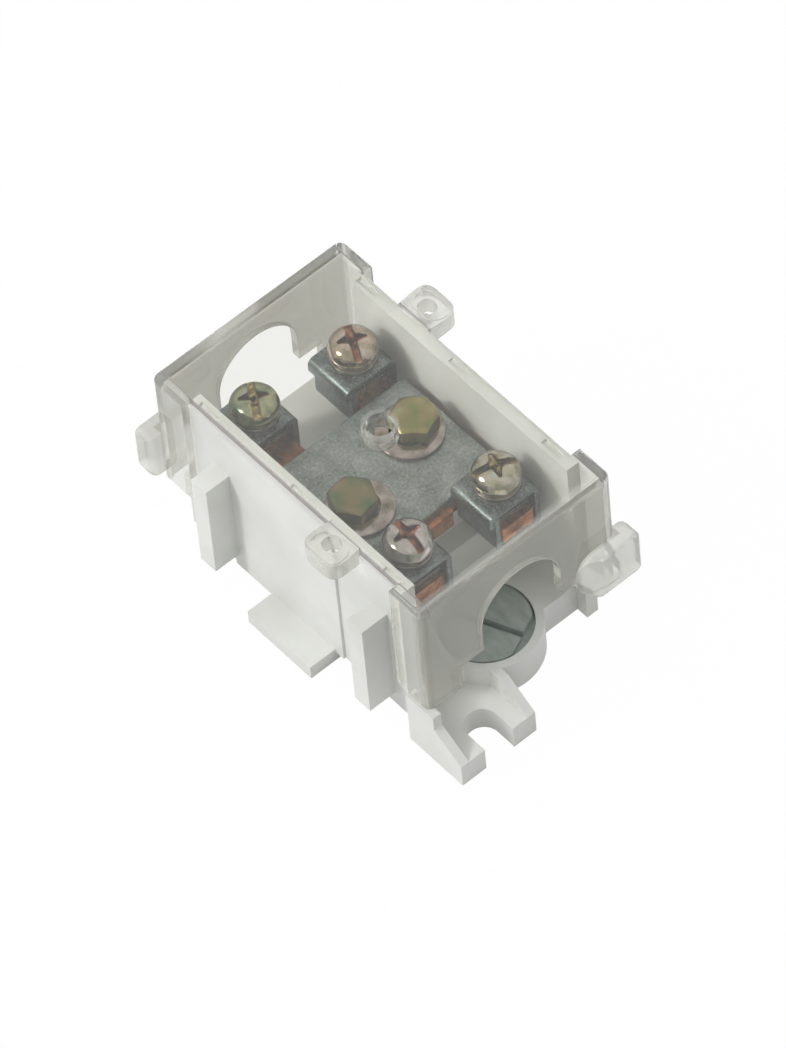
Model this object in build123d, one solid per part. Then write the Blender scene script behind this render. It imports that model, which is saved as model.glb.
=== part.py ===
from build123d import *
import math
import os

# Distribution terminal block, millimetres.
# The origin lies on the mounting surface, under the middle of the cover. +X runs along the block
# to the end with the slotted lug, +Y across it and +Z up.

# Cover: a clear moulding with a flat top, two arched end walls and four corner posts
coverHalfX = 44.6
coverHalfY = 27.5
coverTop = 51.8
coverSkin = 2.4
coverWall = 2.2
coverBandHalfY = 24.9
postX = 34.2
postInnerY = 17.8
postBottom = 16.5
postSkin = 1.9
archRadius = 11.2
archCentreZ = 31.2
archLegBottom = 24.0
coverEdgeRound = 1.3
coverCornerRound = 2.0

# Test hole in the middle of the cover
testHoleRadius = 3.1
testCollarWall = 0.8
testCollarDrop = 2.6

# Seal eyelets on the cover's long sides, and grip ears on two opposite corners
eyeletX = 17.0
eyeletHalfX = 4.9
eyeletHoleY = 28.3
eyeletOuterY = 32.6
eyeletCorner = 3.9
eyeletHoleRadius = 2.0
eyeletTall = 4.8
eyeletRim = 0.5
eyeletRimInset = 0.4
eyeletRimWall = 1.0
eyeletRimFlat = 0.1
earInset = 2.0
earProud = 3.5
earInnerY = 15.6
earSlopeY = 20.6
earOuterY = 31.6
earTall = 13.5
earBottoms = {1: 16.7, -1: 19.6}
earInnerRound = 5.0
earOuterRound = 1.8
earFrontRound = 1.2
earBackRound = 2.4

# Base tray
trayNearX = 38.5
trayFarX = 38.0
traySideY = 25.4
trayWall = 3.5
trayBottom = 3.0
trayEndWall = 2.2
sideNearX = 36.2
sideFarX = 34.5
deckSkin = 2.2
deckNearX = 19.0
shelfZ = 12.0
panelProud = 0.6
panelNearX = 13.2
coverFit = 0.2

# Side ribs, feet and end lug
ribWide = 5.0
ribOut = 7.2
ribBottom = 7.0
ribTop = 36.1
ribFarX = -24.2
ribNearX = 27.5
footHalfX = 10.5
footOut = 7.9
footTall = 4.0
lugTipX = 54.8
lugOuterY = 28.1
lugInnerY = 6.7
lugTall = 6.8
lugWeb = 2.3
lugWebKneeX = 46.4
lugWebKneeZ = 12.3
slotY = 17.2
slotWidth = 8.1
slotCentreX = 49.3
stopWide = 3.2
stopOut = 3.2
stopY = 20.0
ribUnder = 2.0
ribUnderX = (-20.0, 17.0)

# Rear entry: a round socket closed by a disc
socketX = 32.5
socketY = -1.1
socketInnerRadius = 11.05
socketWall = 1.95
socketRim = 12.4
socketLedge = 1.3
socketLedgeTop = 9.6
socketLedgeTall = 1.6
discFit = 0.1
discSkin = 1.2
discAngle = 24.0
discFlapHalf = 8.9
discGroove = 1.0
discPadTall = 1.2
discLowPadTall = 0.6

# Pedestal that carries the copper bar
pedestalTall = 7.0
pedestalHalfX = 14.4
pedestalHalfY = 19.0
pedestalSkin = 2.2
boltBossRadius = 5.2
fixingBossRadius = 3.6

# Copper bar
copperThick = 4.8
copperHalfX = 15.4
copperHalfY = 19.8
tongueInnerY = 8.2
tongueOuterY = 17.6
tongueFarX = 32.3
tongueNearX = 29.2
lipHalfY = 4.4
lipX = 18.0
copperCorner = 0.8

# Clamp plate with its two hexagon screws
plateHalfX = 16.0
plateHalfY = 19.6
plateThick = 2.0
plateCorner = 1.2
plateChamfer = 0.3
boltX = 3.6
boltY = 12.0
boltRadius = 3.0
boltLength = 16.0
boltAcrossFlats = 10.0
boltHeadTall = 4.0
boltHeadChamfer = 0.45
boltTipChamfer = 0.5
boltWasherRadius = 8.3
boltWasherHoleRadius = 4.6
boltWasherShift = 1.5
boltWasherThick = 1.4
boltTurn = (49.0, 38.0)
holeClearance = 0.35
threadFit = 0.05
boltWellDepth = 9.0

# Countersunk screws that hold the bar to the pedestal
fixingX = 10.0
fixingRadius = 2.0
fixingHeadRadius = 3.9
fixingLength = 11.0
fixingSlotWide = 1.0
fixingSlotDeep = 1.0
fixingSlotTurn = 35.0

# Lift cages: folded steel strip round each tongue
cageX = {"far_left": -27.5, "far_right": -24.5, "near_left": 23.3, "near_right": 22.85}
cageY = {"far_left": -12.9, "far_right": 12.9, "near_left": -12.9, "near_right": 12.9}
screwTurn = {"far_left": 149.0, "far_right": 154.0, "near_left": 175.0, "near_right": 69.0}
cageLong = 13.0
cageWide = 13.0
cageSheet = 1.5
cageBend = 2.0
cageFit = 0.2
cageTall = 13.5
leafSheet = 1.5
leafRise = 2.7
leafRound = 2.2

# Pressure plate and clamp screw of each cage
padLong = 9.4
padThick = 1.6
padSideFit = 0.4
clampRadius = 3.0
screwHeadroom = 3.2
clampHeadRadius = 5.6
clampHeadTall = 3.7
clampHeadRound = 2.3
recessReach = 2.9
recessWide = 1.5
recessDeep = 2.2
recessTaper = 12.0
slotCutWide = 1.3
slotCutDeep = 1.3
flatWasherRadius = 5.9
flatWasherThick = 0.9
springWasherRadius = 5.2
springWasherThick = 1.4
springSplit = 0.9
springSplitAngle = 20.0

# Locating tongues of the cover in pockets of the tray's side walls
keyX = (-30.5, 0.0, 30.5)
keyShift = 0.9
keyLong = 6.0
keyWide = 1.5
keyDeep = 0.8
keyFit = 0.2

# Heights go down from the underside of the cover: screw heads, washers, cages, copper bar, deck
coverUnder = coverTop - coverSkin
clampSeat = coverUnder - screwHeadroom - clampHeadTall
cageTopZ = clampSeat - springWasherThick - flatWasherThick
cageBottomZ = cageTopZ - cageTall
leafBottom = cageBottomZ + leafRise
copperBottom = cageBottomZ + cageSheet + cageFit
copperTop = copperBottom + copperThick
deckZ = copperBottom - pedestalTall
plateTop = copperTop + plateThick
boltSeat = plateTop + boltWasherThick
padTop = copperTop + padThick
trayInnerY = traySideY - trayWall
keyY = trayInnerY + trayWall / 2
eyeletLow = coverTop - eyeletTall
panelTopX = eyeletX - eyeletHalfX - coverFit
earBackX = coverHalfX - earInset
earFrontX = coverHalfX + earProud

os.makedirs("parts", exist_ok=True)


def block(x0, x1, y0, y1, z0, z1):
    size = Box(x1 - x0, y1 - y0, z1 - z0)
    return Pos((x0 + x1) / 2, (y0 + y1) / 2, (z0 + z1) / 2) * size


def post(x, y, z0, z1, radius):
    return Pos(x, y, (z0 + z1) / 2) * Cylinder(radius, z1 - z0)


def ring(x, y, z0, z1, outer, inner):
    return post(x, y, z0, z1, outer) - post(x, y, z0 - 1, z1 + 1, inner)


def keep(shape, name):
    export_step(shape, "parts/" + name + ".step")


def sideProfile(points, y0, y1):
    # An outline of X and Z values, made solid from y0 to y1
    face = Plane.XZ * Polygon(*points, align=None)
    return Pos(0, y1, 0) * extrude(face, y1 - y0)


def endProfile(points, x0, x1):
    # An outline of Y and Z values, made solid from x0 to x1
    face = Plane.YZ * Polygon(*points, align=None)
    return Pos(x0, 0, 0) * extrude(face, x1 - x0)


def bothEnds(shape):
    # The cover is the same after half a turn about the vertical
    return shape + Rot(0, 0, 180) * shape


def makeCover():
    top = block(-coverHalfX, coverHalfX, -coverBandHalfY, coverBandHalfY, coverUnder, coverTop)
    for side in (-1, 1):
        x0, x1 = sorted((side * postX, side * coverHalfX))
        top += block(x0, x1, -coverHalfY, coverHalfY, coverUnder, coverTop)
        wallIn = coverHalfX - coverWall
        x0, x1 = sorted((side * wallIn, side * coverHalfX))
        wall = block(x0, x1, -coverHalfY, coverHalfY, archLegBottom, coverUnder)
        for across in (-1, 1):
            y0, y1 = sorted((across * postInnerY, across * coverHalfY))
            wall += block(x0, x1, y0, y1, postBottom, archLegBottom)
            y0, y1 = sorted((across * (coverHalfY - postSkin), across * coverHalfY))
            a, b = sorted((side * postX, side * coverHalfX))
            wall += block(a, b, y0, y1, postBottom, coverUnder)
        top += wall
    upright = top.edges().filter_by(Axis.Z).filter_by(
        lambda e: abs(abs(e.center().X) - coverHalfX) < 0.01 and abs(abs(e.center().Y) - coverHalfY) < 0.01)
    top = fillet(upright, coverCornerRound)
    rim = top.edges().filter_by_position(Axis.Z, coverTop - 0.01, coverTop + 0.01)
    top = fillet(rim, coverEdgeRound)
    arch = Rot(0, 90, 0) * Cylinder(archRadius, 4 * coverHalfX)
    top -= Pos(0, 0, archCentreZ) * arch
    top -= block(-2 * coverHalfX, 2 * coverHalfX, -archRadius, archRadius, 0, archCentreZ)
    collar = testHoleRadius + testCollarWall
    top += post(0, 0, coverUnder - testCollarDrop, coverTop, collar)
    top -= post(0, 0, 0, 2 * coverTop, testHoleRadius)
    top += bothEnds(makeEyelet())
    for side, low in earBottoms.items():
        top += Rot(0, 0, 90 - 90 * side) * makeEar(low)
    for x in keyX:
        for side in (-1, 1):
            key = Box(keyLong - 2 * keyFit, keyWide - 2 * keyFit, keyDeep)
            top += Pos(x - side * keyShift, side * keyY, coverUnder - keyDeep / 2) * key
    return top


def makeEyelet():
    # A tab with two round outer corners, standing clear of the tray's side, with a raised rim round its hole
    inner = traySideY + coverFit
    x0, x1 = -eyeletX - eyeletHalfX, -eyeletX + eyeletHalfX
    tab = Polygon((x0, coverBandHalfY - 1), (x1, coverBandHalfY - 1), (x1, eyeletOuterY), (x0, eyeletOuterY), align=None)
    tab = fillet(tab.vertices().sort_by(Axis.Y)[-2:], eyeletCorner)
    eyelet = Pos(0, 0, eyeletLow) * extrude(tab, eyeletTall)
    eyelet -= block(2 * x0, 0, 0, inner, 0, coverUnder)
    wide = 2 * (eyeletHalfX - eyeletRimInset)
    long = eyeletOuterY - inner - 2 * eyeletRimInset
    bend = min(wide, long) / 2 - eyeletRimFlat
    hollow = RectangleRounded(wide - 2 * eyeletRimWall, long - 2 * eyeletRimWall, bend - eyeletRimWall)
    rim = RectangleRounded(wide, long, bend) - hollow
    eyelet += Pos(-eyeletX, (inner + eyeletOuterY) / 2, coverTop) * extrude(rim, eyeletRim)
    return eyelet - post(-eyeletX, eyeletHoleY, 0, 2 * coverTop, eyeletHoleRadius)


def makeEar(low):
    # The outline seen from the end, rounded all round in front, cut to the outline seen from above
    high = low + earTall
    end = Polygon((earInnerY, low), (earOuterY, low), (earOuterY, high), (earInnerY, high), align=None)
    end = fillet(end.vertices().sort_by(Axis.X)[:2], earInnerRound)
    end = fillet(end.vertices().sort_by(Axis.X)[-2:], earOuterRound)
    ear = Pos(earBackX, 0, 0) * extrude(Plane.YZ * end, earFrontX - earBackX)
    front = ear.faces().sort_by(Axis.X)[-1]
    ear = fillet(front.edges(), earFrontRound)
    above = Polygon((earBackX, earInnerY), (coverHalfX, earInnerY), (earFrontX, earSlopeY),
                    (earFrontX, earOuterY), (earBackX, earOuterY), align=None)
    corner = above.vertices().filter_by(lambda v: v.X < coverHalfX).sort_by(Axis.Y)[-1:]
    above = fillet(corner, earBackRound)
    return ear & Pos(0, 0, low) * extrude(above, earTall)


def makeTray():
    tray = None
    for side in (-1, 1):
        y0, y1 = sorted((side * trayInnerY, side * traySideY))
        wall = block(-sideFarX, sideNearX, y0, y1, trayBottom, coverUnder)
        wall += block(-trayFarX, trayNearX, y0, y1, trayBottom, shelfZ)
        wall += block(-trayFarX, 0, y0, y1, trayBottom, deckZ)
        y0, y1 = sorted((side * (traySideY - 1), side * (traySideY + footOut)))
        wall += block(-footHalfX, footHalfX, y0, y1, 0, footTall)
        tray = wall if tray is None else tray + wall
    half = trayInnerY + 1
    tray += block(-trayFarX, deckNearX, -half, half, deckZ - deckSkin, deckZ)
    tray += block(-trayFarX, -trayFarX + trayEndWall, -half, half, trayBottom, deckZ)
    tray += block(deckNearX - trayEndWall, deckNearX, -half, half, trayBottom, deckZ)
    tray += block(deckNearX - trayEndWall, trayNearX, -half, half, shelfZ - deckSkin, shelfZ)
    tray += block(trayNearX - trayEndWall, trayNearX, -half, half, trayBottom, shelfZ)
    for x in ribUnderX:
        tray += block(x - ribUnder / 2, x + ribUnder / 2, -half, half, trayBottom, deckZ - 1)
    tray += block(-pedestalHalfX, pedestalHalfX, -pedestalHalfY, pedestalHalfY, deckZ - deckSkin, copperBottom)
    x = pedestalHalfX - pedestalSkin
    y = pedestalHalfY - pedestalSkin
    tray -= block(-x, x, -y, y, deckZ - 2 * deckSkin, copperBottom - pedestalSkin)
    tray += makeBosses()
    tray -= makeBoltWells()
    panelX0 = ribFarX + ribWide / 2 - 1
    panelBreak = eyeletLow - coverFit
    tray += block(panelX0, panelNearX, -traySideY - panelProud, -traySideY + 1, trayBottom, panelBreak)
    tray += block(panelX0, panelTopX, -traySideY - panelProud, -traySideY + 1, panelBreak - 1, coverUnder)
    for x in (ribFarX, ribNearX):
        tray += block(x - ribWide / 2, x + ribWide / 2, -traySideY - ribOut, -traySideY + 1, ribBottom, ribTop)
    tray += makeLug()
    tray += block(trayNearX - 1, trayNearX + stopOut, stopY, stopY + stopWide, trayBottom, shelfZ)
    tray += post(socketX, socketY, trayBottom, socketRim, socketInnerRadius + socketWall)
    tray -= post(socketX, socketY, socketLedgeTop, 2 * socketRim, socketInnerRadius)
    tray -= post(socketX, socketY, 0, 2 * socketRim, socketInnerRadius - socketLedge)
    tray -= post(socketX, socketY, 0, socketLedgeTop - socketLedgeTall, socketInnerRadius)
    for x in keyX:
        for side in (-1, 1):
            pocket = Box(keyLong, keyWide, 2 * (keyDeep + keyFit))
            tray -= Pos(x - side * keyShift, side * keyY, coverUnder) * pocket
    return tray


def makeBosses():
    bosses = None
    for side in (-1, 1):
        low = copperBottom - boltWellDepth - pedestalSkin
        boss = post(side * boltX, -side * boltY, low, copperBottom, boltBossRadius)
        low = copperTop - fixingLength - pedestalSkin
        boss += post(side * fixingX, 0, low, copperBottom, fixingBossRadius)
        bosses = boss if bosses is None else bosses + boss
    return bosses


def makeBoltWells():
    wells = None
    for side in (-1, 1):
        well = post(side * boltX, -side * boltY, copperBottom - boltWellDepth, copperBottom + 1,
                    boltRadius + holeClearance)
        well += post(side * fixingX, 0, copperTop - fixingLength, copperBottom + 1, fixingRadius)
        wells = well if wells is None else wells + well
    return wells


def makeLug():
    x0 = trayNearX - 1
    lug = block(x0, lugTipX, -lugOuterY, -lugInnerY, 0, lugTall)
    knee = [(x0, 0), (lugTipX, 0), (lugTipX, lugTall), (lugWebKneeX, lugWebKneeZ)]
    low = knee + [(x0, lugWebKneeZ)]
    tall = knee + [(lugWebKneeX, postBottom - coverFit), (x0, postBottom - coverFit)]
    lug += sideProfile(tall, -lugOuterY, -lugOuterY + lugWeb)
    lug += sideProfile(low, -lugInnerY - lugWeb, -lugInnerY)
    lug += block(x0, trayNearX + 0.01, -lugOuterY, -traySideY + 1, 0, postBottom - coverFit)
    slot = post(slotCentreX, -slotY, -1, 2 * lugTall, slotWidth / 2)
    slot += block(slotCentreX, 2 * lugTipX, -slotY - slotWidth / 2, -slotY + slotWidth / 2, -1, 2 * lugTall)
    return lug - slot


def makeDisc():
    # Two flaps of unequal height meet at a groove, and lie between two lower segments
    radius = socketInnerRadius - discFit
    z0 = socketLedgeTop
    z1 = z0 + discSkin
    disc = post(0, 0, z0, z1, radius)
    flapRadius = radius - discGroove / 2
    for low, high, tall in ((discGroove / 2, radius, discPadTall), (-radius, -discGroove / 2, discLowPadTall)):
        flap = block(-discFlapHalf, discFlapHalf, low, high, z1, z1 + tall)
        disc += flap & post(0, 0, z0, z1 + tall, flapRadius)
    return Pos(socketX, socketY, 0) * Rot(0, 0, discAngle) * disc


def makeCopper():
    shape = Rectangle(2 * copperHalfX, 2 * copperHalfY)
    shape += Rectangle(2 * lipX, 2 * lipHalfY)
    for side in (-1, 1):
        wide = tongueOuterY - tongueInnerY
        middle = Pos((tongueNearX - tongueFarX) / 2, side * (tongueInnerY + wide / 2))
        shape += middle * Rectangle(tongueNearX + tongueFarX, wide)
    ends = [v for v in shape.vertices() if abs(v.X) > lipX - 0.1]
    shape = fillet(ends, copperCorner)
    bar = Pos(0, 0, copperBottom) * extrude(shape, copperThick)
    for side in (-1, 1):
        bar -= post(side * boltX, -side * boltY, 0, 2 * copperTop, boltRadius + threadFit)
        bar -= fixingBody(side, fixingRadius + threadFit, threadFit)
    return bar


def fixingBody(side, radius, grow):
    head = fixingHeadRadius + grow
    drop = fixingHeadRadius - fixingRadius
    cone = Cone(radius, head, drop)
    body = Pos(side * fixingX, 0, copperTop - drop / 2) * cone
    return body + post(side * fixingX, 0, copperTop - fixingLength, copperTop - drop + 0.01, radius)


def makeFixing(side):
    body = fixingBody(side, fixingRadius, 0)
    cut = Box(3 * fixingHeadRadius, fixingSlotWide, 2 * fixingSlotDeep)
    return body - Pos(side * fixingX, 0, copperTop) * Rot(0, 0, fixingSlotTurn) * cut


def makePlate():
    shape = RectangleRounded(2 * plateHalfX, 2 * plateHalfY, plateCorner)
    plate = Pos(0, 0, copperTop) * extrude(shape, plateThick)
    for side in (-1, 1):
        plate -= post(side * boltX, -side * boltY, 0, 2 * plateTop, boltRadius + holeClearance)
    rims = plate.faces().sort_by(Axis.Z)[-1].outer_wire()
    return chamfer(rims.edges(), plateChamfer)


def makeBolt(side, turn):
    x, y = side * boltX, -side * boltY
    corner = boltAcrossFlats / math.sqrt(3)
    prism = extrude(RegularPolygon(corner, 6), boltHeadTall)
    dome = Pos(0, 0, boltHeadTall / 2) * Cylinder(corner, boltHeadTall)
    dome = chamfer(dome.edges().sort_by(Axis.Z)[-1], boltHeadChamfer, 2 * boltHeadChamfer)
    head = prism & dome
    shank = Pos(0, 0, -boltLength / 2) * Cylinder(boltRadius, boltLength)
    shank = chamfer(shank.edges().sort_by(Axis.Z)[0], boltTipChamfer)
    return Pos(x, y, boltSeat) * Rot(0, 0, turn) * (head + shank)


def makeBoltWasher(side):
    # The washer has a wide hole and lies against its screw, shifted towards the middle of the plate
    y = -side * (boltY - boltWasherShift)
    return ring(side * boltX, y, plateTop, boltSeat, boltWasherRadius, boltWasherHoleRadius)


def makeCage(place):
    # A strip bent into a closed loop, with its outer end lapped over the -Y side
    x, y = cageX[place], cageY[place]
    tall = cageTopZ - cageBottomZ
    middle = (cageTopZ + cageBottomZ) / 2
    loop = RectangleRounded(cageWide, tall, cageBend)
    loop -= RectangleRounded(cageWide - 2 * cageSheet, tall - 2 * cageSheet, cageBend - cageSheet)
    body = Pos(x - cageLong / 2, y, middle) * extrude(Plane.YZ * loop, cageLong)
    side = y - cageWide / 2
    leaf = block(x - cageLong / 2, x + cageLong / 2, side - leafSheet, side, leafBottom, cageTopZ - cageBend)
    across = leaf.edges().filter_by(Axis.Y).sort_by(Axis.X)
    leaf = fillet(across[:2], leafRound)
    body += leaf
    return body - post(x, y, middle, 2 * cageTopZ, clampRadius + threadFit)


def makePad(place):
    wide = cageWide - 2 * cageSheet - 2 * padSideFit
    return Pos(cageX[place], cageY[place], copperTop + padThick / 2) * Box(padLong, wide, padThick)


def makeClampScrew(place):
    head = Pos(0, 0, clampHeadTall / 2) * Cylinder(clampHeadRadius, clampHeadTall)
    head = fillet(head.edges().sort_by(Axis.Z)[-1], clampHeadRound)
    cross = Rectangle(2 * recessReach, recessWide) + Rectangle(recessWide, 2 * recessReach)
    head -= Pos(0, 0, clampHeadTall) * extrude(cross, -recessDeep, taper=recessTaper)
    head -= Pos(0, 0, clampHeadTall) * Box(3 * clampHeadRadius, slotCutWide, 2 * slotCutDeep)
    length = clampSeat - padTop
    shank = Pos(0, 0, -length / 2) * Cylinder(clampRadius, length)
    body = Rot(0, 0, screwTurn[place]) * (head + shank)
    return Pos(cageX[place], cageY[place], clampSeat) * body


def makeFlatWasher(place):
    z0 = cageTopZ
    return ring(cageX[place], cageY[place], z0, z0 + flatWasherThick, flatWasherRadius, clampRadius)


def makeSpringWasher(place):
    x, y = cageX[place], cageY[place]
    z0 = cageTopZ + flatWasherThick
    washer = ring(x, y, z0, clampSeat, springWasherRadius, clampRadius)
    gap = Rot(springSplitAngle, 0, 0) * Box(2 * springWasherRadius, springSplit, 4 * springWasherThick)
    turned = Rot(0, 0, screwTurn[place]) * Pos(springWasherRadius, 0, 0) * gap
    return washer - Pos(x, y, (z0 + clampSeat) / 2) * turned


keep(makeTray(), "base_tray")
keep(makeCover(), "cover")
keep(makeDisc(), "entry_disc")
keep(makeCopper(), "copper_bar")
keep(makePlate(), "clamp_plate")
for number, side in ((1, -1), (2, 1)):
    keep(makeFixing(side), "bar_screw_" + str(number))
    keep(makeBolt(side, boltTurn[number - 1]), "hex_bolt_" + str(number))
    keep(makeBoltWasher(side), "bolt_washer_" + str(number))
for place in cageX:
    keep(makeCage(place), "cage_" + place)
    keep(makePad(place), "pressure_plate_" + place)
    keep(makeClampScrew(place), "clamp_screw_" + place)
    keep(makeFlatWasher(place), "flat_washer_" + place)
    keep(makeSpringWasher(place), "spring_washer_" + place)
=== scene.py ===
import math
import bmesh
import bpy
import numpy as np
from mathutils import Matrix, Vector


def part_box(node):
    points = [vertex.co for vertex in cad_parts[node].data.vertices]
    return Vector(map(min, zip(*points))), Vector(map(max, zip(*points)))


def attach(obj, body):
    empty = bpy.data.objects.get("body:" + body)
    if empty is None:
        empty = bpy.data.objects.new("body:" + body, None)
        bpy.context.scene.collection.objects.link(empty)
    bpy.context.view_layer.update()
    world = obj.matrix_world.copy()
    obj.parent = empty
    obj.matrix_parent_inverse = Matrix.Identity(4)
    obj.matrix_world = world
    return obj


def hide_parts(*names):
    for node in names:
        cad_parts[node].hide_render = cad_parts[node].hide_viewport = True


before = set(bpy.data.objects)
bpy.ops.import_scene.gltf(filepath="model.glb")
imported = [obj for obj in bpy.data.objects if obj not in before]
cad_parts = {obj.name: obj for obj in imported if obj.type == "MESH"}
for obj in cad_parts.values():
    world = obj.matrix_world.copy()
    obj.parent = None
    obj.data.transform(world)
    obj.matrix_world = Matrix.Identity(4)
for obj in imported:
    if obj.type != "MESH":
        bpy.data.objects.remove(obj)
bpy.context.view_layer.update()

mm = 0.001
scene = bpy.context.scene
places = ("far_left", "far_right", "near_left", "near_right")
print("frame loaded:", len(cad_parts), "pieces")


# Materials

def toLinear(hexCode):
    # the sRGB curve undone on each channel
    channels = [int(hexCode[i:i + 2], 16) / 255 for i in (0, 2, 4)]
    return [c / 12.92 if c <= 0.04045 else ((c + 0.055) / 1.055) ** 2.4 for c in channels] + [1.0]


def addNode(tree, kind, settings=None, inputs=None, stops=None):
    # settings are the node's own properties; an input is a value or another node's output
    node = tree.nodes.new(kind)
    for key, value in (settings or {}).items():
        setattr(node, key, value)
    for key, value in (inputs or {}).items():
        if isinstance(value, bpy.types.NodeSocket):
            tree.links.new(value, node.inputs[key])
        else:
            node.inputs[key].default_value = value
    if stops:
        ramp = node.color_ramp
        while len(ramp.elements) < len(stops):
            ramp.elements.new(0.5)
        for element, (at, colour) in zip(ramp.elements, stops):
            element.position = at
            element.color = toLinear(colour)
    return node


def calc(tree, operation, first, second):
    return addNode(tree, "ShaderNodeMath", {"operation": operation}, {0: first, 1: second}).outputs["Value"]


def addScaled(tree, value, scale, extra):
    # value * scale + extra
    node = addNode(tree, "ShaderNodeMath", {"operation": "MULTIPLY_ADD"}, {0: value, 1: scale, 2: extra})
    return node.outputs["Value"]


def between(tree, share, low, high, start=0.0, end=1.0):
    # low where the share is at its start, high where it is at its end
    node = addNode(tree, "ShaderNodeMapRange", None,
                   {"Value": share, "From Min": start, "From Max": end, "To Min": low, "To Max": high})
    return node.outputs["Result"]


def shades(tree, value, stops):
    return addNode(tree, "ShaderNodeValToRGB", None, {"Fac": value}, stops).outputs["Color"]


def mixColours(tree, share, first, second, kind="MIX"):
    node = addNode(tree, "ShaderNodeMix", {"data_type": "RGBA", "blend_type": kind},
                   {0: share, 6: first, 7: second})
    return node.outputs[2]


def facing(tree):
    # 0 where the surface faces the eye, 1 where it turns away
    return addNode(tree, "ShaderNodeLayerWeight", None, {"Blend": 0.5}).outputs["Facing"]


def perMm(size):
    # a pattern's scale for one feature of this many millimetres, on coordinates in metres
    return 1000.0 / size


def startMaterial(name, sockets):
    material = bpy.data.materials.new(name)
    material.use_nodes = True
    tree = material.node_tree
    shader = tree.nodes["Principled BSDF"]
    for key, value in sockets.items():
        shader.inputs[key].default_value = value
    place = addNode(tree, "ShaderNodeTexCoord").outputs["Object"]
    return material, tree, shader, place


def noiseAt(tree, place, sizeMm, detail=2.0, stretch=None, rough=0.5):
    vector = place
    if stretch:
        mapping = addNode(tree, "ShaderNodeMapping", None, {"Vector": place, "Scale": stretch})
        vector = mapping.outputs["Vector"]
    noise = addNode(tree, "ShaderNodeTexNoise", None,
                    {"Vector": vector, "Scale": perMm(sizeMm), "Detail": detail, "Roughness": rough})
    return noise.outputs["Fac"]


def bumpFrom(tree, shader, height, strength, depthMm):
    bump = addNode(tree, "ShaderNodeBump", None,
                   {"Height": height, "Strength": strength, "Distance": depthMm * mm})
    tree.links.new(bump.outputs["Normal"], shader.inputs["Normal"])


trayLook = {
    "dull": (0.35, "D6D7D2"), "pale": (0.65, "E3E4E0"), "mottle": 22.0, "grain": 0.35, "rough": (0.38, 0.5),
    "ior": 1.5, "bump": 0.35, "depth": 0.012,
}


def mouldedThermoplastic():
    # light grey injection moulding: fine spark-eroded grain, faint flow clouds, satin
    v = trayLook
    material, tree, shader, place = startMaterial("mouldedThermoplastic", {"IOR": v["ior"]})
    clouds = noiseAt(tree, place, v["mottle"], 3.0)
    tree.links.new(shades(tree, clouds, [v["dull"], v["pale"]]), shader.inputs["Base Color"])
    tree.links.new(between(tree, clouds, *v["rough"]), shader.inputs["Roughness"])
    bumpFrom(tree, shader, noiseAt(tree, place, v["grain"]), v["bump"], v["depth"])
    return material


discLook = {
    "dull": (0.35, "98A19B"), "pale": (0.7, "B0B8B2"), "scuff": 4.0, "stretch": (1.0, 2.2, 1.0), "grain": 0.3,
    "rough": 0.42, "ior": 1.5, "bump": 0.4, "depth": 0.015,
}


def slateMoulding():
    # slate grey moulding, a little scuffed
    v = discLook
    material, tree, shader, place = startMaterial("slateMoulding", {"Roughness": v["rough"], "IOR": v["ior"]})
    scuffs = noiseAt(tree, place, v["scuff"], 4.0, v["stretch"])
    tree.links.new(shades(tree, scuffs, [v["dull"], v["pale"]]), shader.inputs["Base Color"])
    bumpFrom(tree, shader, noiseAt(tree, place, v["grain"]), v["bump"], v["depth"])
    return material


# Lengths are millimetres from the axes; "sheet" to "rim" give the share of light that a part lets through
coverLook = {
    # the grey for outlines and the mauve grey of the sheet's long edges are painted shade
    "sheetTint": "EEEEEA", "tint": "E4E4DF", "edge": "8A8684", "grey": "E4E4E0", "rimShadeTint": "9C9696",
    "turns": (0.25, 0.48, 0.68, 0.95), "eyeletGrey": 0.4,
    "rough": 0.03, "ior": 1.2, "gloss": 0.4, "glossRough": 0.06, "glossIor": 1.5, "shadow": 0.9,
    "ripple": 7.0, "bump": 0.15, "depth": 0.05,
    "sheet": 0.985, "walls": 0.84, "ends": 0.67, "arches": 0.35, "eyelets": 0.66, "collar": 0.87, "ears": 0.6,
    "rim": 0.3,
    "soft": 0.4, "endX": 41.8, "wallY": 24.6, "wallTop": 49.2, "endTop": 49.6,
    "archZ": 31.2, "archOut": 11.45, "archSoft": 0.1, "eyeletY": 25.2, "eyeletX": 26.0,
    "collarOut": 4.3, "collarSoft": 0.2,
    "earX": 45.2, "earY": 28.0, "earFrom": 30.0,
    "rimInner": 24.75, "rimOuter": 25.1, "rimSoft": 0.08, "rimLow": 49.5, "rimLowSoft": 0.1,
}


def beyond(tree, value, limitMm, softMm=coverLook["soft"]):
    # 1 where a length in metres is over the limit, 0 where it is under, with a soft step between
    step = addNode(tree, "ShaderNodeMapRange", {"interpolation_type": "SMOOTHSTEP"},
                   {"Value": value, "From Min": (limitMm - softMm) * mm, "From Max": (limitMm + softMm) * mm})
    return step.outputs["Result"]


def within(tree, value, limitMm, softMm=coverLook["soft"]):
    return calc(tree, "SUBTRACT", 1.0, beyond(tree, value, limitMm, softMm))


def lengthOf(tree, vector, keep):
    # the length of a vector with only the axes marked 1 kept
    kept = addNode(tree, "ShaderNodeVectorMath", {"operation": "MULTIPLY"}, {0: vector, 1: keep})
    length = addNode(tree, "ShaderNodeVectorMath", {"operation": "LENGTH"}, {0: kept.outputs["Vector"]})
    return length.outputs["Value"]


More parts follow.
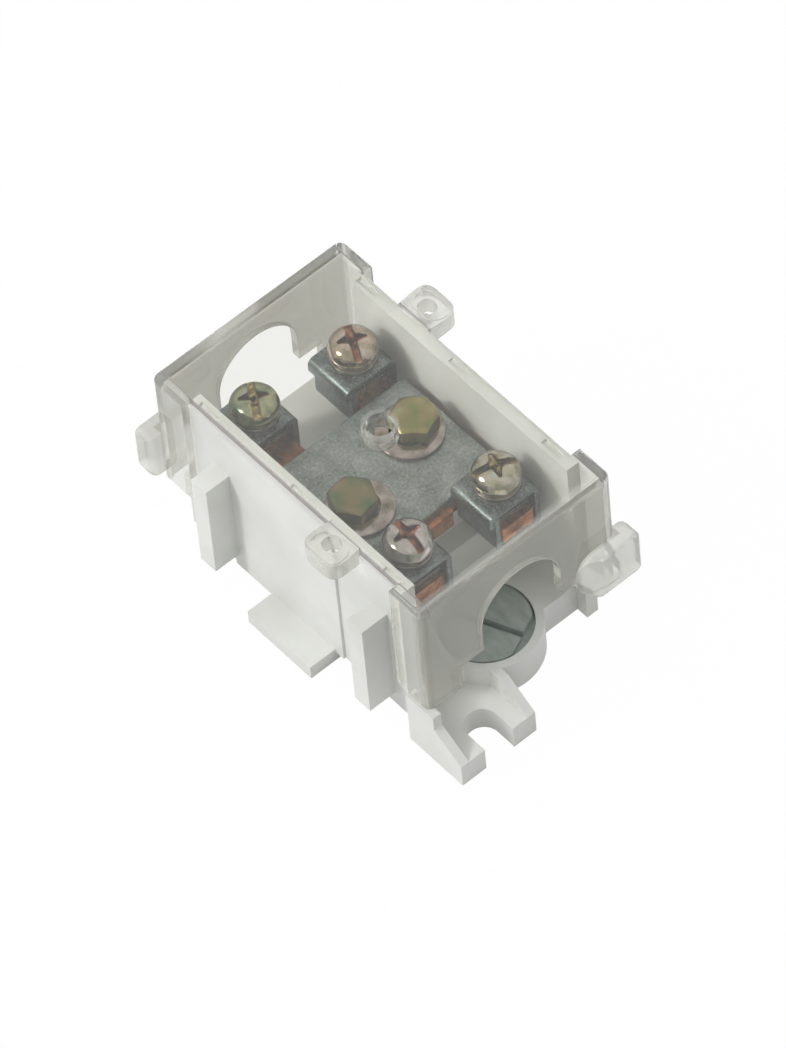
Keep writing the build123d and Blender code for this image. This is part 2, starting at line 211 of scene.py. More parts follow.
def coverParts(tree, place):
    # for each part of the cover, a share that is 1 on it and 0 elsewhere, from where the point lies
    v = coverLook
    size = addNode(tree, "ShaderNodeVectorMath", {"operation": "ABSOLUTE"}, {0: place}).outputs["Vector"]
    axes = addNode(tree, "ShaderNodeSeparateXYZ", None, {"Vector": size}).outputs
    x, y, z = axes["X"], axes["Y"], axes["Z"]
    pastEnd = beyond(tree, x, v["endX"])
    wall = calc(tree, "MAXIMUM", pastEnd, beyond(tree, y, v["wallY"]))
    wall = calc(tree, "MAXIMUM", wall, within(tree, z, v["wallTop"]))
    end = calc(tree, "MULTIPLY", pastEnd, within(tree, z, v["endTop"]))
    archMiddle = (0, 0, v["archZ"] * mm)
    fromArch = addNode(tree, "ShaderNodeVectorMath", {"operation": "SUBTRACT"}, {0: place, 1: archMiddle})
    fromArch = lengthOf(tree, fromArch.outputs["Vector"], (0, 1, 1))
    arch = calc(tree, "MULTIPLY", pastEnd, within(tree, fromArch, v["archOut"], v["archSoft"]))
    eyelet = calc(tree, "MULTIPLY", beyond(tree, y, v["eyeletY"]), within(tree, x, v["eyeletX"]))
    collar = within(tree, lengthOf(tree, place, (1, 1, 0)), v["collarOut"], v["collarSoft"])
    ear = calc(tree, "MAXIMUM", beyond(tree, x, v["earX"]), beyond(tree, y, v["earY"]))
    ear = calc(tree, "MULTIPLY", ear, beyond(tree, x, v["earFrom"]))
    rim = calc(tree, "MULTIPLY", beyond(tree, y, v["rimInner"], v["rimSoft"]),
               within(tree, y, v["rimOuter"], v["rimSoft"]))
    rim = calc(tree, "MULTIPLY", rim, beyond(tree, z, v["rimLow"], v["rimLowSoft"]))
    return {"walls": wall, "ends": end, "arches": arch, "eyelets": eyelet, "collar": collar, "ears": ear,
            "rim": rim}


def clearPolycarbonate():
    # clear moulding gone faintly hazy and grey: it bends light little, with soft flow ripples, and lets most
    # light through. The sheet is clearest; the collar, walls and posts are hazier, then the end walls and
    # eyelets, the thick ears, the arches' cut edges, which catch the light, and the sheet's long edges, which
    # carry a painted darker band for light that comes the long way through them. Outlines carry painted
    # shade:
    # the colour goes grey where the surface turns away from the eye, in place of the dark rims that bent
    # light gives the edges of clear plastic
    v = coverLook
    material, tree, shader, place = startMaterial("clearPolycarbonate", {
        "Roughness": v["rough"], "IOR": v["ior"], "Coat Weight": v["gloss"],
        "Coat Roughness": v["glossRough"], "Coat IOR": v["glossIor"]})
    parts = coverParts(tree, place)
    clear = v["sheet"]
    for part in ("walls", "ends", "arches", "eyelets", "collar", "ears", "rim"):
        clear = between(tree, parts[part], clear, v[part])
    tree.links.new(clear, shader.inputs["Transmission Weight"])
    # painted shade: the tint turns grey on outlines that turn away from the eye
    tints = (v["sheetTint"], v["tint"], v["tint"], v["edge"])
    colour = shades(tree, facing(tree), list(zip(v["turns"], tints)))
    thick = calc(tree, "MAXIMUM", calc(tree, "MULTIPLY", parts["eyelets"], v["eyeletGrey"]),
                 calc(tree, "SUBTRACT", parts["ends"], parts["ears"]))
    colour = mixColours(tree, thick, colour, toLinear(v["grey"]), "MULTIPLY")
    # painted shade: a darker mauve grey band along the sheet's long edges
    colour = mixColours(tree, parts["rim"], colour, toLinear(v["rimShadeTint"]))
    tree.links.new(colour, shader.inputs["Base Color"])
    rays = addNode(tree, "ShaderNodeLightPath")
    tree.links.new(addScaled(tree, rays.outputs["Is Shadow Ray"], -v["shadow"], 1.0), shader.inputs["Alpha"])
    bumpFrom(tree, shader, noiseAt(tree, place, v["ripple"], 1.0), v["bump"], v["depth"])
    return material


copperLook = {
    "shades": [(0.5, "74451F"), (0.72, "B06C34"), (0.95, "D2935A")], "cloud": 3.5, "streak": 0.8,
    "stretch": (0.12, 1.0, 1.0), "share": 0.45, "rough": 0.36, "bump": 0.5, "depth": 0.02,
}


def rolledCopper():
    # rolled copper bar: long rolling streaks along it, brown tarnish in clouds
    v = copperLook
    material, tree, shader, place = startMaterial("rolledCopper", {"Metallic": 1.0, "Roughness": v["rough"]})
    clouds = noiseAt(tree, place, v["cloud"], 4.0)
    streaks = noiseAt(tree, place, v["streak"], 3.0, v["stretch"])
    both = addScaled(tree, streaks, v["share"], clouds)
    tree.links.new(shades(tree, both, v["shades"]), shader.inputs["Base Color"])
    bumpFrom(tree, shader, streaks, v["bump"], v["depth"])
    return material


# the cage strips' shades are darker than the plate's: painted shade for the dark surroundings that the strips
# reflect
zincLook = {
    "plate": ("5F6864", "848B87", "A5ABA7"), "cage": ("3E4744", "68716E", "959C99"), "at": (0.55, 0.75, 0.95),
    "crystal": 0.5, "cloud": 6.0, "share": 0.5, "rough": (0.28, 0.46, 0.3, 0.7), "metal": 0.9, "bump": 0.5,
    "depth": 0.03,
}


def zincPlatedSteel(name, colours):
    # bright zinc plating gone matt: tiny crystals of uneven grey, greenish in the dull ones
    v = zincLook
    material, tree, shader, place = startMaterial(name, {"Metallic": v["metal"]})
    crystals = noiseAt(tree, place, v["crystal"], 4.0, None, 0.7)
    both = addScaled(tree, noiseAt(tree, place, v["cloud"]), v["share"], crystals)
    tree.links.new(shades(tree, both, list(zip(v["at"], colours))), shader.inputs["Base Color"])
    tree.links.new(between(tree, crystals, *v["rough"]), shader.inputs["Roughness"])
    bumpFrom(tree, shader, crystals, v["bump"], v["depth"])
    return material


# Each film's name, its shades, the surface's roughness and the size of a patch in millimetres
chromates = {
    "bolt1": ("oliveChromate", [(0.32, "69743F"), (0.45, "827F4A"), (0.58, "928455"), (0.72, "A39E72")],
              0.3, 5.0),
    "bolt2": ("greenOliveChromate", [(0.32, "4B6842"), (0.43, "656F48"), (0.56, "817250"), (0.72, "8F8264")],
              0.3, 7.0),
    "washer": ("pinkChromate", [(0.28, "6E655B"), (0.43, "93877E"), (0.6, "ACA29C")], 0.16, 2.6),
    # the recess films: their own redder or golder tone, made darker as painted shade for the light the recess
    # walls shut out
    "redRecessFilmShade": ("redRecessFilmShade", [(0.35, "5E3024"), (0.5, "834A36"), (0.7, "AD7A5E")], 0.22, 1.2),
    "goldRecessFilmShade": ("goldRecessFilmShade", [(0.35, "5E5330"), (0.5, "857548"), (0.7, "BDA878")], 0.22, 1.2),
    "far_left": ("greenGoldChromate", [(0.3, "6A7B60"), (0.43, "8C9478"), (0.56, "A9A680"), (0.7, "9FAA98")],
                 0.13, 2.6),
    "far_right": ("rosyChromate", [(0.3, "938A6E"), (0.43, "B1A48C"), (0.56, "BFA99C"), (0.7, "BEB9B0")],
                  0.13, 2.6),
    "near_left": ("silverPinkChromate",
                  [(0.3, "85887C"), (0.43, "A9A8A0"), (0.56, "BCAEAE"), (0.7, "C4C6C4")], 0.11, 2.6),
    "near_right": ("paleGoldChromate", [(0.3, "86866C"), (0.43, "A6A288"), (0.56, "B9AFA0"), (0.7, "BCC0B4")],
                   0.11, 2.6),
}
# painted shade: white where the surface faces the eye, dark grey where it turns away, multiplied into every
# chromate film
chromateRimShade = [(0.55, "FFFFFF"), (0.95, "76706A")]


def yellowChromate(name, stops, rough, patch):
    # yellow chromate over zinc: a thin film whose colour drifts from gold to pink and green in patches, with
    # painted shade that darkens it where the surface turns away from the eye, in place of the dark
    # surroundings that the rims reflect
    material, tree, shader, place = startMaterial(name, {"Metallic": 1.0, "Roughness": rough})
    film = shades(tree, noiseAt(tree, place, patch), stops)
    # painted shade on the rims of the screws, bolts and washers
    edge = shades(tree, facing(tree), chromateRimShade)
    tree.links.new(mixColours(tree, 1.0, film, edge, "MULTIPLY"), shader.inputs["Base Color"])
    return material


looks = {
    "tray": mouldedThermoplastic(),
    "cover": clearPolycarbonate(),
    "disc": slateMoulding(),
    "copper": rolledCopper(),
    "plate": zincPlatedSteel("zincPlate", zincLook["plate"]),
    # painted shade: the strips and pressure plates take the darker copy of the zinc
    "cage": zincPlatedSteel("zincStripShaded", zincLook["cage"]),
}
looks.update({key: yellowChromate(*values) for key, values in chromates.items()})
print("materials made:", len(looks))


# Shapes

def linkPiece(name, mesh, material, body, *nodes):
    piece = bpy.data.objects.new(name, mesh)
    scene.collection.objects.link(piece)
    mesh.materials.clear()
    mesh.materials.append(material)
    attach(piece, body)
    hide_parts(*nodes)
    return piece


def gridMesh(name, grid, wrapRows=False, caps=False, smooth=35):
    # rows of points in millimetres, each row a closed ring, joined to the next row by quads; doubles are
    # merged and faces turned outwards
    rows, points = grid.shape[:2]
    r = np.arange(rows if wrapRows else rows - 1)[:, None]
    p = np.arange(points)[None, :]
    nextRow, nextPoint = (r + 1) % rows, (p + 1) % points
    corners = [r * points + p, r * points + nextPoint, nextRow * points + nextPoint, nextRow * points + p]
    faces = np.stack(corners, axis=-1).reshape(-1, 4).tolist()
    if caps:
        faces += [list(range(points)), list(range((rows - 1) * points, rows * points))]
    mesh = bpy.data.meshes.new(name)
    mesh.from_pydata((grid.reshape(-1, 3) * mm).tolist(), [], faces)
    shell = bmesh.new()
    shell.from_mesh(mesh)
    bmesh.ops.remove_doubles(shell, verts=shell.verts, dist=0.001 * mm)
    bmesh.ops.recalc_face_normals(shell, faces=shell.faces)
    shell.to_mesh(mesh)
    shell.free()
    mesh.shade_smooth()
    mesh.set_sharp_from_angle(angle=math.radians(smooth))
    return mesh


def revolved(profile, steps):
    # each profile point (radius, height) carried round the Z axis
    profile = np.asarray(profile, float)
    turn = np.linspace(0, 2 * math.pi, steps, endpoint=False)
    radius, height = profile[:, :1], profile[:, 1:]
    return np.stack([radius * np.cos(turn), radius * np.sin(turn), height + 0 * turn], axis=-1)


def placed(grid, x, y, z, turn=0.0):
    # a turn about Z, then a shift
    c, s = math.cos(math.radians(turn)), math.sin(math.radians(turn))
    return grid @ np.array([[c, s, 0], [-s, c, 0], [0, 0, 1.0]]) + np.array([x, y, z])


def roundedOutline(corners, radii, steps, closed=False):
    # straight runs joined by arcs tangent to both; an end corner of an open outline stays as it is
    corners = np.asarray(corners, float)
    count = len(corners)
    out = []
    for i, radius in zip(range(count), radii):
        here = corners[i]
        if radius == 0 or (not closed and i in (0, count - 1)):
            out.append(here[None])
            continue
        a, b = corners[i - 1] - here, corners[(i + 1) % count] - here
        a, b = a / np.linalg.norm(a), b / np.linalg.norm(b)
        half = math.acos(np.clip(a @ b, -1, 1)) / 2
        centre = here + (a + b) / np.linalg.norm(a + b) * radius / math.sin(half)
        start = here + a * radius / math.tan(half) - centre
        end = here + b * radius / math.tan(half) - centre
        share = np.linspace(0, 1, steps)[:, None]
        swing = math.pi - 2 * half
        arc = (np.sin((1 - share) * swing) * start + np.sin(share * swing) * end) / math.sin(swing)
        out.append(centre + arc)
    return np.concatenate(out)


def boxOutline(x0, x1, y0, y1, radii, steps):
    return roundedOutline([(x0, y0), (x1, y0), (x1, y1), (x0, y1)], radii, steps, closed=True)


# Radii of the hard edges and tolerances in millimetres, angles in degrees
edges = {
    "base_tray": 0.25, "cover": 0.3, "entry_disc": 0.15, "copper_bar": 0.2, "clamp_plate": 0.12,
    "pressure_plate": 0.15, "segments": 2, "sharpAbove": 28, "flatWithin": 0.6, "joinWithin": 0.002,
    "levelWithin": 0.01,
}


def softened(node, roundMm, material, body, levels=(), shape=None):
    # the solid's own surface, its flat faces joined, with a small radius on every hard edge; levels are
    # (height, new height) pairs for flat faces, and shape gives one vertex a new place
    v = edges
    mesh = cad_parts[node].data.copy()
    shell = bmesh.new()
    shell.from_mesh(mesh)
    for vert in shell.verts:
        for height, level in levels:
            if abs(vert.co.z - height * mm) < v["levelWithin"] * mm:
                vert.co.z = level * mm
                break
        if shape:
            shape(vert.co)
    bmesh.ops.remove_doubles(shell, verts=shell.verts, dist=v["joinWithin"] * mm)
    flatWithin = math.radians(v["flatWithin"])
    bmesh.ops.dissolve_limit(shell, angle_limit=flatWithin, verts=shell.verts, edges=shell.edges)
    shell.to_mesh(mesh)
    shell.free()
    mesh.shade_smooth()
    piece = linkPiece(node + "_form", mesh, material, body, node)
    bevel = piece.modifiers.new("edgeRound", "BEVEL")
    bevel.width = roundMm * mm
    bevel.segments = v["segments"]
    bevel.limit_method = "ANGLE"
    bevel.angle_limit = math.radians(v["sharpAbove"])
    weigh = piece.modifiers.new("flatShade", "WEIGHTED_NORMAL")
    weigh.keep_sharp = True


eyelet = {
    "x": 17.0, "reach": 8.0, "from": 25.2, "wider": 1.1, "longer": 1.085, "squarer": 0.12, "flat": 1.0,
    "bend": 28.7,
}


def squareEyelet(at):
    # the two eyelets grow a little outwards, and their round corners are pushed out by a share that peaks
    # at 45 degrees
    v = eyelet
    x, y = at.x / mm, abs(at.y / mm)
    if y < v["from"] or abs(x) > v["x"] + v["reach"]:
        return
    centre = math.copysign(v["x"], x)
    side = math.copysign(1, at.y)
    u, w = abs(x - centre) - v["flat"], y - v["bend"]
    if u > 0 and w > 0:
        push = 1 + v["squarer"] * math.sin(2 * math.atan2(w, u)) ** 2
        u, w = u * push, w * push
    at.x = (centre + math.copysign(u + v["flat"], x - centre) * v["wider"]) * mm
    at.y = side * (v["from"] + (w + v["bend"] - v["from"]) * v["longer"]) * mm


bar = {"lipHalf": 4.6, "plateHalf": 16.0, "tucked": 15.7}


def tuckFarLip(at):
    # the bar's far lip ends under the plate
    if at.x < -bar["plateHalf"] * mm and abs(at.y) < bar["lipHalf"] * mm:
        at.x = -bar["tucked"] * mm


# a hair of air under the cover, whose keys end level with its sheet over shallow pockets
trayLevels = [(49.4, 49.35), (48.4, 48.8)]
coverLevels = [(48.6, 49.4)]
disc = {"flapsRise": 0.9, "grooveDeep": 0.6, "grooveOver": 0.1}
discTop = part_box("entry_disc")[1][2] / mm
discLevels = [(discTop, discTop + disc["flapsRise"]),
              (discTop - disc["grooveDeep"], discTop + disc["grooveOver"])]
softened("base_tray", edges["base_tray"], looks["tray"], "base", trayLevels)
softened("cover", edges["cover"], looks["cover"], "cover", coverLevels, squareEyelet)
softened("entry_disc", edges["entry_disc"], looks["disc"], "base", discLevels)
softened("copper_bar", edges["copper_bar"], looks["copper"], "base", shape=tuckFarLip)
softened("clamp_plate", edges["clamp_plate"], looks["plate"], "centre_clamp")
for place in places:
    softened("pressure_plate_" + place, edges["pressure_plate"], looks["cage"], "base")
for number in (1, 2):
    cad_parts["bar_screw_%d" % number].data.materials[0] = looks["plate"]
print("moulded and stamped pieces made")


cage = {
    "middle": {"far_left": (-27.5, -12.9), "far_right": (-24.5, 12.9), "near_left": (23.3, -12.9),
               "near_right": (22.85, 12.9)},
    "top": 40.2, "bottom": 26.7, "wide": 13.0, "long": 13.0, "sheet": 1.5, "bend": 1.25, "lapBend": 1.05,
    "lapBottom": 36.6, "endGap": 0.55, "edge": 0.22, "bendSteps": 10, "edgeSteps": 4,
}


def makeCage(place):
    # the strip's section carried along the middle line of the sheet: up inside, round the loop, lapped
    # outside
    v = cage
    x, y = v["middle"][place]
    half, t = v["wide"] / 2, v["sheet"]
    low, high = v["bottom"] + t / 2, v["top"] - t / 2
    inner, outer = half - t / 2, half + t / 2
    line = roundedOutline(
        [(-inner, high - t * v["endGap"]), (-inner, low), (inner, low), (inner, high), (-outer, high),
         (-outer, v["lapBottom"])],
        [0, v["bend"], v["bend"], v["bend"], v["lapBend"], 0], v["bendSteps"])
    along = np.gradient(line, axis=0)
    along /= np.linalg.norm(along, axis=1, keepdims=True)
    across = np.stack([-along[:, 1], along[:, 0]], axis=1)
    section = boxOutline(-t / 2, t / 2, -v["long"] / 2, v["long"] / 2, [v["edge"]] * 4, v["edgeSteps"])
    flat = line[:, None, :] + section[None, :, :1] * across[:, None, :]
    grid = np.stack([x + 0 * flat[..., 0] + section[None, :, 1], y + flat[..., 0], flat[..., 1]], axis=-1)
    mesh = gridMesh("cage_" + place + "_strip", grid, caps=True)
    linkPiece(mesh.name, mesh, looks["cage"], "cage_" + place, "cage_" + place)


screw = {
    "seat": 43.4, "tip": 34.8, "radius": 5.6, "tall": 3.7, "rim": 0.45, "crown": 3.0,
    # outline under the head: how far past the head's radius, and height
    "under": [(0.1, 0.36), (0.1, 0.18), (-0.05, 0.04), (-0.3, 0.0)],
    "shank": 2.98, "pitch": 1.0, "thread": 0.3, "threadStep": 0.1, "plainTip": 0.55,
    # outline of the tip: radius, and height over its end
    "point": [(2.45, 0.4), (2.1, 0.0), (0, 0.0)],
    "slotWide": 1.7, "slotDeep": 2.0, "armWide": 2.9, "armTaper": 0.33, "armReach": 3.4, "armDeep": 2.9,
    "armRise": 0.62, "wall": 0.13, "leastDepth": 0.002,
    # faces this far under the crown, over this height and inside the rim's border, are the recess
    "recessFrom": 0.15, "recessOver": 0.8, "border": 0.1,
    # the recess takes a darker film: its own tone with painted shade
    "recess": {"far_left": "goldRecessFilmShade", "far_right": "redRecessFilmShade", "near_left": "redRecessFilmShade",
               "near_right": "goldRecessFilmShade"},
    "turn": {"far_left": 149.0, "far_right": 154.0, "near_left": 175.0, "near_right": 69.0},
    "steps": 264, "flatShare": 0.85, "flatSteps": 84, "roundSteps": 18,
}


def panHeight(radius):
    # rim + (tall - rim) * sqrt(1 - (r / R) ^ crown): flat in the middle, round to the rim
    v = screw
    rise = np.sqrt(np.maximum(1 - (radius / v["radius"]) ** v["crown"], 0))
    return v["rim"] + (v["tall"] - v["rim"]) * rise


def recessDepth(x, y):
    # the deeper of a slot and a cross whose arms narrow and rise outwards, all with soft walls
    v = screw

    def soft(room):
        return np.clip(room / v["wall"] + 0.5, 0, 1)

    def cut(room, deep):
        inside = soft(room)
        return deep * inside * inside * (3 - 2 * inside)

    def arm(along, across):
        along, across = np.abs(along), np.abs(across)
        deep = np.maximum(v["armDeep"] - v["armRise"] * along, 0) * soft(v["armReach"] - along)
        return cut(v["armWide"] / 2 - v["armTaper"] * along - across, deep)

    slot = cut(v["slotWide"] / 2 - np.abs(y), v["slotDeep"])
    return np.maximum(np.maximum(arm(x, y), arm(y, x)), slot)


def screwGrid():
    # top: height over (x, y) is the pan's crown or the recess's floor, whichever is lower; then a rolled rim,
    # seat, helical thread and tip
    v = screw
    turn = np.linspace(0, 2 * math.pi, v["steps"], endpoint=False)[None, :]
    inner = np.linspace(0, v["flatShare"] * v["radius"], v["flatSteps"])[:, None]
    rise = np.linspace(math.sqrt(1 - v["flatShare"] ** v["crown"]), 0, v["roundSteps"])[1:, None]
    radius = np.concatenate([inner, v["radius"] * (1 - rise ** 2) ** (1 / v["crown"])])
    x, y = radius * np.cos(turn), radius * np.sin(turn)
    depth = recessDepth(x, y)
    floor = np.where(depth > v["leastDepth"], v["tall"] - depth, np.inf)
    head = np.stack([x, y, np.minimum(panHeight(radius) + 0 * turn, floor)], axis=-1)
    under = [(v["radius"] + past, height) for past, height in v["under"]] + [(v["shank"], 0.0)]
    length = v["seat"] - v["tip"]
    drop = np.arange(0.0, length - v["plainTip"], v["threadStep"])[:, None]
    crest = v["shank"] - v["thread"] * (0.5 - 0.5 * np.cos(2 * math.pi * drop / v["pitch"] - turn))
    shank = np.stack([crest * np.cos(turn), crest * np.sin(turn), -drop + 0 * turn], axis=-1)
    point = [(out, height - length) for out, height in v["point"]]
    return np.concatenate([head, revolved(under, v["steps"]), shank, revolved(point, v["steps"])])


def makeScrew(place):
    v = screw
    x, y = cage["middle"][place]
    grid = placed(screwGrid(), x, y, v["seat"], v["turn"][place])
    mesh = gridMesh("clamp_screw_" + place + "_turned", grid)
    linkPiece(mesh.name, mesh, looks[place], "screw_" + place, "clamp_screw_" + place)
    # the recess's faces take the darker film, partly painted shade
    mesh.materials.append(looks[v["recess"][place]])
    for face in mesh.polygons:
        at = face.center / mm
        away = math.hypot(at.x - x, at.y - y)
        onTop = at.z > v["seat"] + v["recessOver"] and away < v["radius"] - v["border"]
        if onTop and panHeight(away) - (at.z - v["seat"]) > v["recessFrom"]:
            face.material_index = 1


# Inner radius, outer radius and thickness of the two washers; "gap" and "splitTurn" are degrees
washer = {
    "flat": (3.0, 5.4, 1.2), "spring": (3.0, 5.1, 2.0), "gap": 10.0, "tilt": 0.12, "splitTurn": 200.0,
    "round": 0.16, "bore": 0.05, "flatSteps": 96, "springSteps": 90, "flatEdgeSteps": 5, "springEdgeSteps": 4,
}


def makeWashers(place):
    v = washer
    x, y = cage["middle"][place]
    inner, outer, thick = v["flat"]
    radii = [v["bore"], v["round"], v["round"], v["bore"]]
    outline = boxOutline(inner, outer, 0, thick, radii, v["flatEdgeSteps"])
    grid = placed(revolved(outline, v["flatSteps"]), x, y, cage["top"])
    mesh = gridMesh("flat_washer_" + place + "_ring", grid, wrapRows=True)
    linkPiece(mesh.name, mesh, looks["washer"], "screw_" + place, "flat_washer_" + place)
    # the spring washer's section climbs a little on its way round, from one side of the split to the other
    inner, outer, tall = v["spring"]
    outline = boxOutline(inner, outer, 0, tall - v["tilt"], [v["round"]] * 4, v["springEdgeSteps"])
    way = np.radians(np.linspace(v["gap"] / 2, 360 - v["gap"] / 2, v["springSteps"]))[:, None]
    climb = v["tilt"] * np.linspace(0, 1, v["springSteps"])[:, None]
    radius, height = outline[:, 0], outline[:, 1]
    grid = np.stack([radius * np.cos(way), radius * np.sin(way), height + climb], axis=-1)
    grid = placed(grid, x, y, cage["top"] + thick, screw["turn"][place] + v["splitTurn"])
    mesh = gridMesh("spring_washer_" + place + "_coil", grid, caps=True)
    linkPiece(mesh.name, mesh, looks[place], "screw_" + place, "spring_washer_" + place)


for place in places:
    makeCage(place)
    makeScrew(place)
    makeWashers(place)
print("lift clamps made")


# A pair of values holds one for each hexagon screw
bolt = {
    "x": (-3.6, 3.6), "y": (12.0, -12.0), "seat": 36.6, "flats": 10.0, "tall": 4.0, "topShare": 0.92,
    "corner": 0.985, "coneAngle": 30, "dish": 0.22, "dishRadius": 3.4, "shank": 3.0, "length": 16.0,
    "turn": (49.0, 38.0), "steps": 240, "smooth": 25,
}
bigWasher = {
    "seat": 35.2, "inner": 4.5, "outer": 7.9, "thick": 1.05, "cone": 0.35, "rounds": [0.1, 0.25, 0.3, 0.2],
    "shift": ((0.1, -1.45), (1.1, 0.95)), "steps": 128, "edgeSteps": 6,
}


def hexHeadGrid():
    # radius over the turn is half the flats over the cosine from the flat's middle; a cone trims the upper
    # corners
    v = bolt
    turn = np.linspace(0, 2 * math.pi, v["steps"], endpoint=False)
    half = v["flats"] / 2
    hexagon = half / np.cos(np.mod(turn, math.pi / 3) - math.pi / 6)
    hexagon = np.minimum(hexagon, half / math.cos(math.pi / 6) * v["corner"])
    top, tall, shank, length, dish = half * v["topShare"], v["tall"], v["shank"], v["length"], v["dishRadius"]
    shoulder = tall - (hexagon - top) * math.tan(math.radians(v["coneAngle"]))
    rows = [
        (0, -length), (shank - 0.5, -length), (shank, 0.5 - length), (shank, 0),
        (hexagon - 0.1, 0), (hexagon, 0.1), (hexagon, shoulder - 0.08), (hexagon - 0.1, shoulder + 0.02),
        (top, tall - 0.03), (top - 0.25, tall), (dish + 0.3, tall), (dish, tall - 0.1),
        (dish - 0.4, tall - v["dish"]), (0, tall - v["dish"]),
    ]
    return np.stack([np.stack([r * np.cos(turn), r * np.sin(turn), z + 0 * turn], axis=-1) for r, z in rows])


def makeBolt(number):
    x, y = bolt["x"][number - 1], bolt["y"][number - 1]
    name = "hex_bolt_%d" % number
    grid = placed(hexHeadGrid(), x, y, bolt["seat"], bolt["turn"][number - 1])
    mesh = gridMesh(name + "_forged", grid, smooth=bolt["smooth"])
    linkPiece(mesh.name, mesh, looks["bolt%d" % number], name, name)


def makeBigWasher(number):
    # dished: the same thickness all over, its inner edge lifted
    v = bigWasher
    t, c = v["thick"], v["cone"]
    corners = [(v["inner"], c), (v["outer"], 0), (v["outer"], t), (v["inner"], c + t)]
    outline = roundedOutline(corners, v["rounds"], v["edgeSteps"], closed=True)
    dx, dy = v["shift"][number - 1]
    x, y = bolt["x"][number - 1] + dx, bolt["y"][number - 1] + dy
    name = "bolt_washer_%d" % number
    mesh = gridMesh(name + "_dished", placed(revolved(outline, v["steps"]), x, y, v["seat"]), wrapRows=True)
    linkPiece(mesh.name, mesh, looks["washer"], "centre_clamp", name)


for number in (1, 2):
    makeBolt(number)
    makeBigWasher(number)
print("centre clamp made")


# Floor, lights and camera

# Lengths in metres. Of the lamps, with their size and their power in watts, a small one makes the shadows'
# edges and a wide soft box round it the broad highlights
stage = {
    "floor": 2.4, "floorTint": "D8D8D8", "floorRough": 0.9, "glow": 0.985, "white": "FFFFFF",
    "horizon": 0.25, "zenith": 0.95, "zenithFrom": 0.9,
    "lampFrom": (-0.327, -0.718, 0.614), "lampAway": 1.2,
    "lamps": {"key": (0.16, 3.7), "softBox": (0.48, 2.6)},
}


def seenShare(tree, *kinds):
    # 1 for rays of these kinds; a ray that has left a matt surface lights the object, so it doesn't count
    rays = addNode(tree, "ShaderNodeLightPath").outputs
    seen = rays[kinds[0]]
    for kind in kinds[1:]:
        seen = calc(tree, "MAXIMUM", seen, rays[kind])
    return calc(tree, "MULTIPLY", seen, calc(tree, "LESS_THAN", rays["Diffuse Depth"], 0.5))


def makeFloor():
    v = stage
    half = v["floor"] / 2
    corners = [(-half, -half, 0), (half, -half, 0), (half, half, 0), (-half, half, 0)]
    mesh = bpy.data.meshes.new("floor")
    mesh.from_pydata(corners, [], [(0, 1, 2, 3)])
    floor = bpy.data.objects.new("floor", mesh)
    scene.collection.objects.link(floor)
    material = bpy.data.materials.new("paleSweep")
    material.use_nodes = True
    tree = material.node_tree
    shader = tree.nodes["Principled BSDF"]
    shader.inputs["Base Color"].default_value = toLinear(v["floorTint"])
    shader.inputs["Roughness"].default_value = v["floorRough"]
    seen = seenShare(tree, "Is Camera Ray", "Is Glossy Ray", "Is Transmission Ray")
    share = calc(tree, "MULTIPLY", seen, v["glow"])
    glow = addNode(tree, "ShaderNodeEmission", None, {"Color": toLinear(v["white"]), "Strength": 1.0})
    mixed = addNode(tree, "ShaderNodeMixShader", None,
                    {0: share, 1: shader.outputs["BSDF"], 2: glow.outputs["Emission"]})
    tree.links.new(mixed.outputs["Shader"], tree.nodes["Material Output"].inputs["Surface"])
    mesh.materials.append(material)


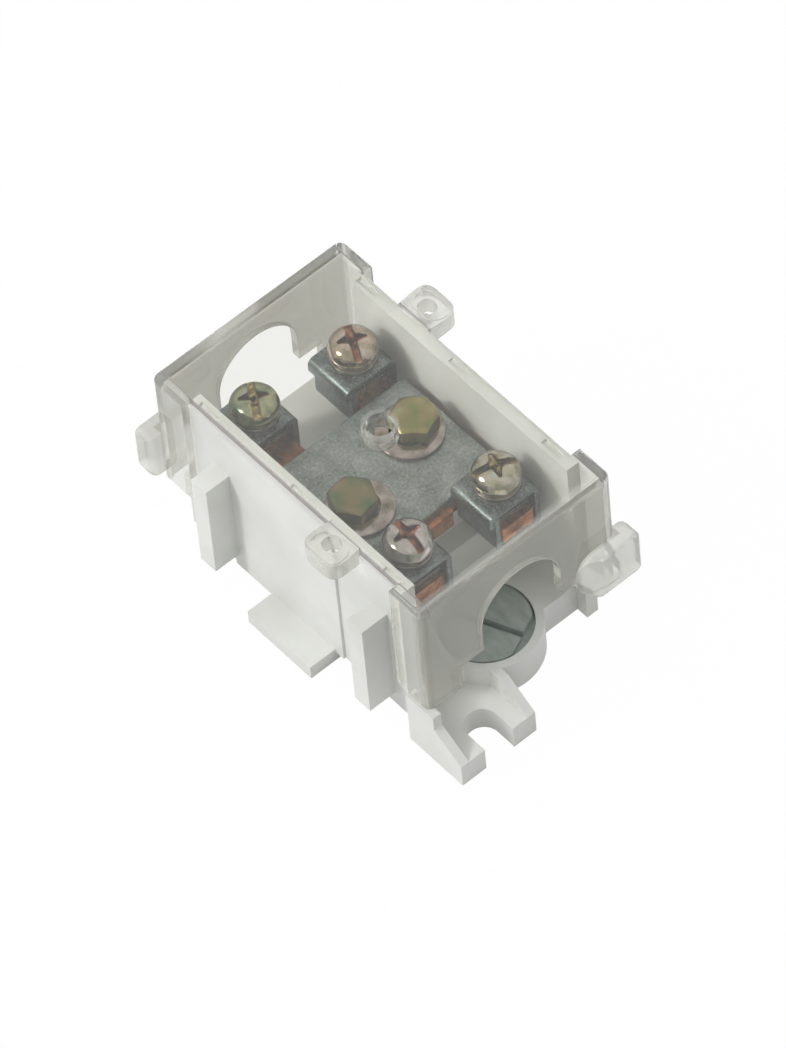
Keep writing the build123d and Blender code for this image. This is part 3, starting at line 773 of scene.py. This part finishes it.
def makeRoom():
    # away from the camera's own rays the room is brighter overhead than at the horizon
    v = stage
    world = bpy.data.worlds.new("softRoom")
    scene.world = world
    world.use_nodes = True
    tree = world.node_tree
    seen = seenShare(tree, "Is Camera Ray", "Is Transmission Ray")
    way = addNode(tree, "ShaderNodeTexCoord").outputs["Generated"]
    height = addNode(tree, "ShaderNodeSeparateXYZ", None, {"Vector": way}).outputs["Z"]
    room = addNode(tree, "ShaderNodeMapRange", {"interpolation_type": "SMOOTHSTEP"},
                   {"Value": height, "From Min": 0.0, "From Max": v["zenithFrom"],
                    "To Min": v["horizon"], "To Max": v["zenith"]})
    back = tree.nodes["Background"]
    back.inputs["Color"].default_value = toLinear(v["white"])
    tree.links.new(between(tree, seen, room.outputs["Result"], 1.0), back.inputs["Strength"])


def makeLamps():
    v = stage
    toward = Vector(v["lampFrom"]).normalized()
    for name, (size, power) in v["lamps"].items():
        light = bpy.data.lights.new(name, "AREA")
        light.shape = "DISK"
        light.size = size
        light.energy = power
        lamp = bpy.data.objects.new(name, light)
        scene.collection.objects.link(lamp)
        lamp.location = toward * v["lampAway"]
        lamp.rotation_mode = "QUATERNION"
        lamp.rotation_quaternion = toward.to_track_quat("Z", "Y")


view = {
    "azimuth": 36.36, "elevation": 53.63, "roll": -5.92, "away": 2290.0, "aim": (0.0, 0.0, 25.0),
    "shift": (-1.24, 5.69), "lens": 360.4, "clip": (0.1, 20),
}


def makeCamera():
    # back is the way from the aim to the camera; right and up are turned about it by the roll
    v = view
    a, e, r = (math.radians(v[k]) for k in ("azimuth", "elevation", "roll"))
    back = np.array([math.cos(e) * math.cos(a), -math.cos(e) * math.sin(a), math.sin(e)])
    right = np.cross([0, 0, 1], back)
    right /= np.linalg.norm(right)
    up = np.cross(back, right)
    right, up = math.cos(r) * right + math.sin(r) * up, -math.sin(r) * right + math.cos(r) * up
    where = (np.array(v["aim"]) - v["shift"][0] * right - v["shift"][1] * up + v["away"] * back) * mm
    data = bpy.data.cameras.new("view")
    data.lens = v["lens"]
    data.clip_start, data.clip_end = v["clip"]
    camera = bpy.data.objects.new("view", data)
    scene.collection.objects.link(camera)
    axes = np.stack([right, up, back], axis=1)
    camera.matrix_world = Matrix([list(row) + [at] for row, at in zip(axes, where)] + [[0, 0, 0, 1]])
    scene.camera = camera


makeFloor()
makeRoom()
makeLamps()
makeCamera()
scene.view_settings.view_transform = "Standard"
print("stage, light and camera made")
